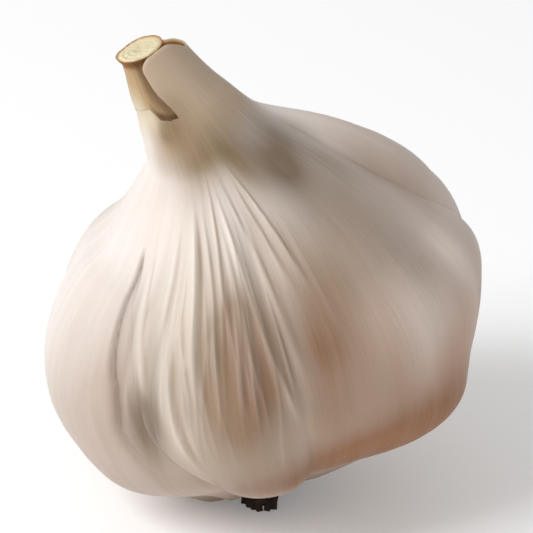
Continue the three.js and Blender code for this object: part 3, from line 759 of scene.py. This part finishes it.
def neck_stalk():
    """The stalk: rings up a tapering ribbed stem, then in across the cut face, whose layers are
    shallow steps, to a small hollow in the middle."""
    angle = np.arange(STALK_COLUMNS) * 360 / STALK_COLUMNS
    turn = np.radians(angle)
    foot = HOLE_FLOOR + FIT_GAP
    share = np.linspace(0, 1, STALK_ROWS)[:, None]
    level = blend(foot, CUT_HEIGHT, share)
    top_share = rise(level, STALK_TOP["from"], CUT_HEIGHT - STALK_TOP["from"])
    foot_share = fall(level, foot + STALK_FOOT["tall"], STALK_FOOT["over"])
    radius = neck_radius(level) - SHEATH - STALK_GAP - STALK_TOP["narrow"] * top_share
    radius = radius - STALK_FOOT["narrow"] * foot_share + layered_noise(angle, level, STALK_RIBS)
    lip = STALK_TOP["lip"] * rise(level, CUT_HEIGHT - STALK_TOP["lip_tall"], STALK_TOP["lip_tall"])
    flat = bell(apart(angle, STALK_TOP["flat_at"]) / STALK_TOP["flat_wide"])
    radius = radius + lip - STALK_TOP["flat"] * flat * rise(level, *STALK_TOP["flat_start"])
    right = STALK_TOP["shift"] * top_share + radius * np.sin(turn)
    back = -radius * np.cos(turn)
    sides = place(blend(foot, cut_at(right, back), share), right, back)
    wave = FACE_RINGS * (1 + layered_noise(angle, FACE_RINGS * 0, FACE_WAVE))
    steps = FACE_STEPS["tall"] * np.cos(2 * np.pi * (1 - FACE_RINGS) * FACE_STEPS["count"])
    steps = steps - FACE_STEPS["hollow"] * bell(FACE_RINGS / FACE_STEPS["hollow_wide"])
    steps = steps + layered_noise(angle, FACE_RINGS * FACE_STEPS["grain"], FACE_GRAIN)
    steps = steps - FACE_STEPS["low"]
    right = STALK_TOP["shift"] + radius[-1] * wave * np.sin(turn)
    back = -radius[-1] * wave * np.cos(turn)
    rings = np.vstack([sides, place(cut_at(right, back) + steps, right, back)])
    climb = np.vstack([level, CUT_HEIGHT + FACE_STEPS["rise"] * (1 - FACE_RINGS)])
    grain = np.stack(np.broadcast_arrays(angle / 360, climb / GRAIN_HEIGHT), -1)
    middle = cut_at(STALK_TOP["shift"], 0) - FACE_STEPS["middle"]
    piece = closed_skin("neck_stem", rings, grain, on_axis(foot), on_axis(middle, STALK_TOP["shift"]))
    paint_stalk(piece, angle, level)
    return piece


def tubes(paths, radii):
    """Closed tapering tubes along paths: at each path point a ring across its direction, and a pole
    at each end. Returns points, triangles and quads of all the tubes as one set."""
    count, rows, _ = paths.shape
    along = np.gradient(paths, axis=1)
    along /= np.linalg.norm(along, axis=-1, keepdims=True)
    side = np.cross(along, ROOT_SIDEWAYS)
    side /= np.linalg.norm(side, axis=-1, keepdims=True)
    other = np.cross(along, side)
    turn = np.arange(ROOT_SIDES) * 2 * np.pi / ROOT_SIDES
    offset = side[:, :, None] * np.cos(turn)[:, None] + other[:, :, None] * np.sin(turn)[:, None]
    rings = paths[:, :, None] + radii[:, :, None, None] * offset
    points = np.concatenate([paths[:, :1], rings.reshape(count, -1, 3), paths[:, -1:]], axis=1)
    start, quads, end = ring_faces(rows, ROOT_SIDES)
    first = np.arange(count)[:, None, None] * points.shape[1]
    triangles = (first + np.vstack([start, end])).reshape(-1, 3)
    return points.reshape(-1, 3), triangles, (first + quads).reshape(-1, 4)


def root_paths(start, reach, turn, level, bow):
    """Root paths from the plate out to their cut ends, bowed sideways and hanging in the middle."""
    share = np.linspace(0, 1, ROOT_ROWS)[None, :]
    radius = blend(start[:, None], reach[:, None], share ** ROOT_CURVE["out"])
    height = blend(ROOT_TOP, level[:, None], share ** ROOT_CURVE["down"])
    angle = turn[:, None] + bow[:, None] * np.sin(np.pi * share)
    return around(height, radius, angle)


def laid_out(tuft, turn, start, length, level, tuft_start, shorter):
    """Roots by their angle, start, reach, the level of their ends, and whether they are in the tuft.
    The tuft is trimmed to a wedge that reaches furthest a little right of its middle, and the other
    roots are worn down on one side of the bulb."""
    wedge = TUFT["reach"] - TUFT["taper"] * np.abs(turn - TUFT["longest"]) - shorter
    worn = np.minimum(WORN["most"] * bell(apart(turn, WORN["angle"]) / WORN["wide"]), 1)
    worn = np.where(tuft, 0, worn)
    start = np.where(tuft, tuft_start, start * (1 - WORN["inward"] * worn))
    reach = np.where(tuft, wedge, start + length * (1 - worn))
    return turn, start, reach, blend(level, WORN["level"], worn), tuft


def thick_roots():
    """The thick roots, the first few fanned out in the tuft and the others in a spiral."""
    i = np.arange(ROOTS)
    tuft = i < TUFT["count"]
    fan = TUFT["angle"] + TUFT["step"] * (i - (TUFT["count"] - 1) / 2)
    turn = np.where(tuft, fan, i * 360 * GOLDEN)
    start, length, level = (blend(low, high, (i * step) % 1) for low, high, step in SPIRAL_RANGES)
    level = np.where(tuft, TUFT["level"] + TUFT["first_higher"] * (i == 0), level)
    return laid_out(tuft, turn, start, length, level, TUFT["start"], 0)


def fine_roots(random):
    """Seeded fine roots, the first few bunched round the tuft and the others spread all round."""
    tuft = np.arange(FINE_ROOTS) < FINE_TUFT["count"]
    bunched = random.normal(TUFT["angle"], FINE_TUFT["spread"], FINE_ROOTS)
    turn = np.where(tuft, bunched, random.uniform(-180, 180, FINE_ROOTS))
    start, shorter, length, level = (random.uniform(*limits, FINE_ROOTS) for limits in FINE_RANGES)
    return laid_out(tuft, turn, start, length, level, FINE_TUFT["start"], shorter)


def plate_points():
    """The corky plate: a turned boss roughened by noise, in rings with a pole at each end."""
    profile = spline(PLATE_PROFILE, np.linspace(0, len(PLATE_PROFILE) - 1, PLATE_ROWS + 2)[1:-1])[::-1]
    angle = np.arange(PLATE_COLUMNS) * 360 / PLATE_COLUMNS
    height, radius = profile[:, 1:], profile[:, :1]
    rough = layered_noise(angle, height, PLATE_ROUGH) * np.minimum(radius / PLATE_TRIM["full_radius"], 1)
    radius = np.maximum(radius * PLATE_TRIM["share"] + rough - PLATE_TRIM["less"], PLATE_TRIM["least"])
    rings = around(height, radius, angle).reshape(-1, 3)
    points = np.vstack([on_axis(PLATE_PROFILE[-1, 1]), rings, on_axis(PLATE_PROFILE[0, 1])])
    points[:, :2] += PLATE_MIDDLE
    return points


def root_plate():
    """The corky plate and the trimmed roots that stand out of it, thick and fine. Nothing goes
    below the table."""
    plate = plate_points()
    random = np.random.default_rng(ROOT_SEED)
    thick_and_fine = zip(thick_roots(), fine_roots(random))
    turn, start, reach, level, tuft = (np.concatenate(pair) for pair in thick_and_fine)
    count = len(turn)
    bow = random.uniform(-ROOT_BOW, ROOT_BOW, count)
    thin = np.where(tuft, random.uniform(*FINE_TUFT["thick"], count),
                    random.uniform(*FINE_THICK, count))
    thick = np.where(np.arange(count) < ROOTS, 1, thin)
    radii = thick[:, None] * np.linspace(*ROOT_RADIUS, ROOT_ROWS)
    points, triangles, quads = tubes(root_paths(start, reach, turn, level, bow), radii)
    everything = np.vstack([plate, points])
    everything[:, 2] = np.maximum(everything[:, 2], 0)
    plate_start, plate_quads, plate_end = ring_faces(PLATE_ROWS, PLATE_COLUMNS)
    parts = (plate_start, plate_end, plate_quads, triangles + len(plate), quads + len(plate))
    faces = [face for part in parts for face in part.tolist()]
    corners = np.zeros((sum(part.size for part in parts), 2))
    piece = mesh_object("root_tuft", everything, faces, corners)
    trimmed = np.ones((count, len(points) // count))
    trimmed[:, :-ROOT_SIDES - 1] = 0
    of_plate = np.zeros(len(plate))
    set_attribute(piece, "root", np.concatenate([of_plate, np.ones(len(points))]))
    set_attribute(piece, "trimmed", np.concatenate([of_plate, trimmed.ravel()]))
    return piece


papery, skin_angle, skin_height = papery_skin()
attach(papery, "root")
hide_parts("bulb_body")

stem = neck_stalk()
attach(stem, "root")
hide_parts("neck_stalk")

roots = root_plate()
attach(roots, "root")
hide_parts("root_plate")


def tone(colour):
    """A colour as the shader takes it, linear, from its everyday values out of 255."""
    share = np.array(colour) / 255
    linear = np.where(share <= 0.04045, share / 12.92, ((share + 0.055) / 1.055) ** 2.4)
    return (*linear.tolist(), 1.0)


class Shader:
    """Adds nodes to one node tree and links them as they are made."""

    def __init__(self, tree):
        self.tree = tree

    def fill(self, node, inputs):
        """Sets each input to its value, or links it where its value is another node's output."""
        for socket, value in inputs.items():
            if isinstance(value, bpy.types.NodeSocket):
                self.tree.links.new(value, node.inputs[socket])
            else:
                node.inputs[socket].default_value = value

    def add(self, kind, inputs, **settings):
        made = self.tree.nodes.new(kind)
        for key, value in settings.items():
            setattr(made, key, value)
        self.fill(made, inputs)
        return made

    def group(self, tree, inputs):
        return self.add("ShaderNodeGroup", inputs, node_tree=tree).outputs

    def attribute(self, name):
        return self.add("ShaderNodeAttribute", {}, attribute_name=name).outputs["Fac"]

    def maths(self, operation, *values, clamp=False):
        inputs = dict(enumerate(values))
        return self.add("ShaderNodeMath", inputs, operation=operation, use_clamp=clamp).outputs[0]

    def mix(self, share, a, b):
        """Two colours mixed by a share: the node's sockets 6 and 7 are its colours."""
        return self.add("ShaderNodeMix", {0: share, 6: a, 7: b}, data_type="RGBA").outputs[2]

    def layers(self, below, colours, shares):
        """Named colours laid one after another over the one below, each by its share."""
        colour = tone(colours[below])
        for name, share in shares.items():
            colour = self.mix(share, colour, tone(colours[name]))
        return colour

    def range(self, value, low, high, to_low=0.0, to_high=1.0):
        inputs = {0: value, 1: low, 2: high, 3: to_low, 4: to_high}
        return self.add("ShaderNodeMapRange", inputs, interpolation_type="SMOOTHSTEP").outputs[0]

    def scaled(self, share, low, high):
        """A share from 0 to 1 brought to a range of values."""
        return self.range(share, 0.0, 1.0, low, high)

    def noise(self, vector, scale, detail):
        inputs = {"Vector": vector, "Scale": scale, "Detail": detail, "Roughness": NOISE_ROUGHNESS}
        return self.add("ShaderNodeTexNoise", inputs).outputs["Fac"]

    def bump(self, height, strength, distance):
        inputs = {"Height": height, "Strength": strength, "Distance": distance}
        return self.add("ShaderNodeBump", inputs).outputs[0]


def effect_group(name, inputs, outputs, build):
    """A shader node group with number sockets: inputs gives their names and first values. build gets
    the shader and the inputs by name, and returns the outputs by name."""
    tree = bpy.data.node_groups.new(name, "ShaderNodeTree")
    for label, value in inputs.items():
        socket = tree.interface.new_socket(label, in_out="INPUT", socket_type="NodeSocketFloat")
        socket.default_value = value
    for label in outputs:
        tree.interface.new_socket(label, in_out="OUTPUT", socket_type="NodeSocketFloat")
    start = tree.nodes.new("NodeGroupInput")
    end = tree.nodes.new("NodeGroupOutput")
    shader = Shader(tree)
    shader.fill(end, build(shader, start.outputs))
    return tree


def fibres(shader, given):
    """Lengthwise fibres: noise stretched along the grain, a coarse set and a fine one."""
    grain = shader.add("ShaderNodeUVMap", {}, uv_map="grain").outputs[0]
    scale = shader.add("ShaderNodeCombineXYZ", {0: given["Across"], 1: given["Along"], 2: 1.0})
    mapping = {"Vector": grain, "Scale": scale.outputs[0]}
    stretched = shader.add("ShaderNodeMapping", mapping).outputs[0]
    fine = shader.noise(stretched, 1.0, 2.0)
    broad = shader.noise(stretched, BROAD_SCALE, 2.0)
    return {"Fine": shader.range(fine, *FIBRES_SHOW), "Broad": shader.range(broad, *FIBRES_SHOW)}


def mottling(shader, given):
    """Soft patches over the whole surface, with small specks in them."""
    here = shader.add("ShaderNodeTexCoord", {}).outputs["Object"]
    patchy = shader.noise(here, given["Scale"], 4.0)
    speckled = shader.noise(here, shader.maths("MULTIPLY", given["Scale"], SPECK_SCALE), 2.0)
    return {"Patches": shader.range(patchy, *PATCHES_SHOW),
            "Specks": shader.range(speckled, *SPECKS_SHOW)}


FIBRES = effect_group("lengthwise_fibres", {"Across": 200.0, "Along": 6.0}, ("Fine", "Broad"), fibres)
MOTTLING = effect_group("soft_mottling", {"Scale": 60.0}, ("Patches", "Specks"), mottling)


def finish_material(name, piece, build):
    """A material on one piece: build gets the shader, and returns the inputs of its Principled
    node by name."""
    material = bpy.data.materials.new(name)
    material.use_nodes = True
    shader = Shader(material.node_tree)
    shader.fill(material.node_tree.nodes["Principled BSDF"], build(shader))
    piece.data.materials.append(material)


def surface(shader, colour, rough, relief, finish):
    """The inputs of a material: its colour, and its roughness and bumps from two patterns."""
    return {
        "Base Color": colour,
        "Roughness": shader.scaled(rough, *finish["rough"]),
        "Normal": shader.bump(relief, *finish["bump"]),
    }


def papery_finish(shader):
    """Layers of colour from the pale paper up: the duller patches, then the paints, some of them broken
    up along the fibres and some of them painted light and shade, then painted shade in the valleys and a
    painted highlight on the crests, fine fibres, and painted shade in the creases."""
    grain = shader.group(FIBRES, SKIN_GRAIN)
    streaks = shader.group(FIBRES, SKIN_STREAKS)
    soft = shader.group(MOTTLING, {"Scale": SKIN_FINISH["mottles"]})
    broken = shader.scaled(streaks["Fine"], *PAINT_BREAKS)
    shares = {"dull": soft["Patches"]}
    for name in SKIN_PAINTS:
        shares[name] = shader.attribute(name)
        if name in BROKEN_PAINTS:
            shares[name] = shader.maths("MULTIPLY", shares[name], broken, clamp=True)
    shares["fibre"] = shader.scaled(grain["Fine"], 0.0, FIBRE_SHARE)
    shares["streak"] = shader.scaled(streaks["Broad"], 0.0, STREAK_SHARE)
    shares["crease"] = shader.attribute("crease")
    colour = shader.layers("paper", SKIN_COLOURS | SKIN_PAINTS, shares)
    return surface(shader, colour, grain["Broad"], grain["Fine"], SKIN_FINISH) | SKIN_DEPTH


def stalk_finish(shader):
    """Ribbed straw sides with light, brown and painted shade laid over them, and a pale cut face with
    rings, a brown edge, a few specks and a painted shade on its far edge."""
    grain = shader.group(FIBRES, STALK_GRAIN)
    soft = shader.group(MOTTLING, {"Scale": STALK_FINISH["mottles"]})
    # under holds the brown just under the lip and the painted shade on the cut face's far edge
    inward, under = shader.attribute("inward"), shader.attribute("under")
    waves = shader.maths("SINE", shader.maths("MULTIPLY", inward, FACE_FINISH["rings"]))
    sides = shader.layers("straw", STALK_COLOURS, {
        "ribs": grain["Fine"],
        "light": shader.attribute("light"),
        "brown_and_shade": under,
        "shade": shader.attribute("shade"),
    })
    face = shader.layers("face", STALK_COLOURS, {
        "rings": shader.range(waves, -1.0, 1.0, 0.0, FACE_FINISH["ring_share"]),
        "edge": shader.range(inward, 0.0, FACE_FINISH["edge"], 1.0, 0.0),
        "specks": shader.maths("MULTIPLY", soft["Specks"], FACE_FINISH["specks"]),
        "brown_and_shade": under,
    })
    colour = shader.mix(shader.attribute("cut"), sides, face)
    return surface(shader, colour, soft["Patches"], grain["Fine"], STALK_FINISH)


def root_finish(shader):
    """Cork darkened to near black as a painted shade under the bulb, a little lighter along the roots
    and at their trimmed ends, with dark specks.
    """
    soft = shader.group(MOTTLING, {"Scale": ROOT_FINISH["mottles"]})
    shares = {"dark_cork": soft["Patches"]}
    for name, most in ROOT_SHARES.items():
        shares[name] = shader.maths("MULTIPLY", shader.attribute(name), most)
    shares["specks"] = soft["Specks"]
    colour = shader.layers("cork", ROOT_SHADED_COLOURS, shares)
    return surface(shader, colour, soft["Patches"], soft["Patches"], ROOT_FINISH)


def floor_finish(shader):
    """A plain pale table, lit a little from itself."""
    soft = shader.group(MOTTLING, {"Scale": FLOOR_MOTTLES})
    colour = shader.layers("plain", FLOOR_COLOURS, {"dull": soft["Patches"]})
    return {"Base Color": colour, **FLOOR_FINISH}


def patches(angle, height, spots):
    return np.clip(spots_at(angle, height, spots), 0, 1)


def paint_skin(piece, angle, height):
    """Every painted share of the skin, from 0 to 1, as an attribute of its points: those that follow its
    creases, seam and pleats, among them painted shade in the creases, seam and valleys and a painted
    highlight on the crests, those of its height, among them a painted shade towards the bottom, and then
    the spots."""
    _, near_edge, nearest = in_clove(angle, height)
    # Painted shade in the creases between the cloves and along the seam's groove
    crease = np.clip(crease_depth(nearest, height) / CREASE_SHADE["deep"], 0, 1)
    crease = near_edge ** CREASE_SHADE["sharpness"] * crease * fall(height, *CREASE_SHADE["end"])
    seam = (left_seam(angle, height) - SEAM_SHADE["over"]) * rise(height, *SEAM_SHADE["start"])
    pleats, foot = pleat_relief(angle, height)
    relief = pleats + fine_pleats(angle, height)
    gathered = fall(height, *PLEATS_END)
    # Painted shade in the valleys and at the foot of the pleats' steep sides
    valley_shade = np.clip(1 - relief / VALLEY_SHADE["relief"], 0, 1) * patches(angle, height, SHADED_VALLEYS)
    steep = foot * bell(apart(angle, 0) / VALLEY_SHADE["front"])
    # The painted highlight on the crests, dulled where tan and warm paint lie
    dull = patches(angle, height, SKIN_SPOTS["tan"] + SKIN_SPOTS["warm_and_shade"])
    crest_highlight = np.clip(relief / CREST_HIGHLIGHT["tall"], 0, 1) * gathered * (1 - CREST_HIGHLIGHT["dulled"] * dull)
    left_side = blend(DRY["least"], 1, rise(apart(angle, 0), *DRY["left_start"]))
    cream = rise(height, *CREAM["start"]) * fall(apart(angle, 0), *CREAM["end"])
    # A painted shade towards the bottom, and beside the seam on the left lobe
    low = fall(height, *LOW_SHADE["end"]) + patches(angle, height, LEFT_LOBE_SHADE)
    fields = {
        "low": np.clip(low, 0, LOW_SHADE["most"]),
        "dry": rise(height, *DRY["start"]) * left_side,
        "crest_highlight": CREST_HIGHLIGHT["share"] * crest_highlight,
        "cream": CREAM["share"] * cream,
        "golden": np.arange(len(angle))[:, None] > BODY_ROWS + NECK_ROWS,
        "valley_shade": np.clip(VALLEY_SHADE["share"] * valley_shade * gathered + steep, 0, VALLEY_SHADE["most"]),
        "crease": np.clip(CREASE_SHADE["share"] * crease + SEAM_SHADE["share"] * seam, 0, 1),
    }
    for name, spots in SKIN_SPOTS.items():
        fields[name] = patches(angle, height, spots)
    for share, end, over in FOOT_BROWN:
        fields["brown"] = fields["brown"] + share * fall(height, end, over)
    fields["brown"] = np.clip(fields["brown"], 0, 1)
    for name, values in fields.items():
        paint_rings(piece, name, values, angle.shape)


paint_skin(papery, skin_angle, skin_height)
finish_material("papery_skin_finish", papery, papery_finish)
finish_material("dry_stalk_finish", stem, stalk_finish)
finish_material("root_wood_finish", roots, root_finish)

# The table: a flat square, wide enough to reach the horizon
half = FLOOR_SIZE / 2
floor_corners = [(-half, -half, 0), (half, -half, 0), (half, half, 0), (-half, half, 0)]
floor_mesh = bpy.data.meshes.new("table_top")
floor_mesh.from_pydata(floor_corners, [], [(0, 1, 2, 3)])
floor = in_scene("table_top", floor_mesh)
finish_material("table_finish", floor, floor_finish)

# The room is white where the camera sees it, and lights the bulb less than that
scene = bpy.context.scene
scene.view_settings.view_transform = "Standard"
world = bpy.data.worlds.new("soft_room")
world.use_nodes = True
room = Shader(world.node_tree)
seen = room.add("ShaderNodeLightPath", {}).outputs["Is Camera Ray"]
light = {"Color": (1, 1, 1, 1), "Strength": room.scaled(seen, ROOM_LIGHT, 1.0)}
room.fill(world.node_tree.nodes["Background"], light)
scene.world = world


def softbox(name, at, size, power, aim):
    """A square area light at a place, turned to face the point that it lights."""
    lit = bpy.data.lights.new(name, "AREA")
    lit.size = size
    lit.energy = power
    lamp = in_scene(name, lit)
    lamp.location = Vector(at)
    lamp.rotation_euler = (Vector(aim) - Vector(at)).to_track_quat("-Z", "Y").to_euler()


softbox("key_light", **KEY_LIGHT)

# The camera looks down on the bulb from the front
camera_data = bpy.data.cameras.new("camera")
camera_data.sensor_width = SENSOR
camera_data.lens = SENSOR * CAMERA_DISTANCE / FRAME_WIDTH
camera = in_scene("camera", camera_data)
towards = Vector((0, -math.cos(CAMERA_ELEVATION), math.sin(CAMERA_ELEVATION)))
upwards = Vector((0, math.sin(CAMERA_ELEVATION), math.cos(CAMERA_ELEVATION)))
camera.location = CAMERA_AIM + upwards * CAMERA_RAISE + towards * CAMERA_DISTANCE
camera.rotation_euler = (-towards).to_track_quat("-Z", "Y").to_euler()
scene.camera = camera
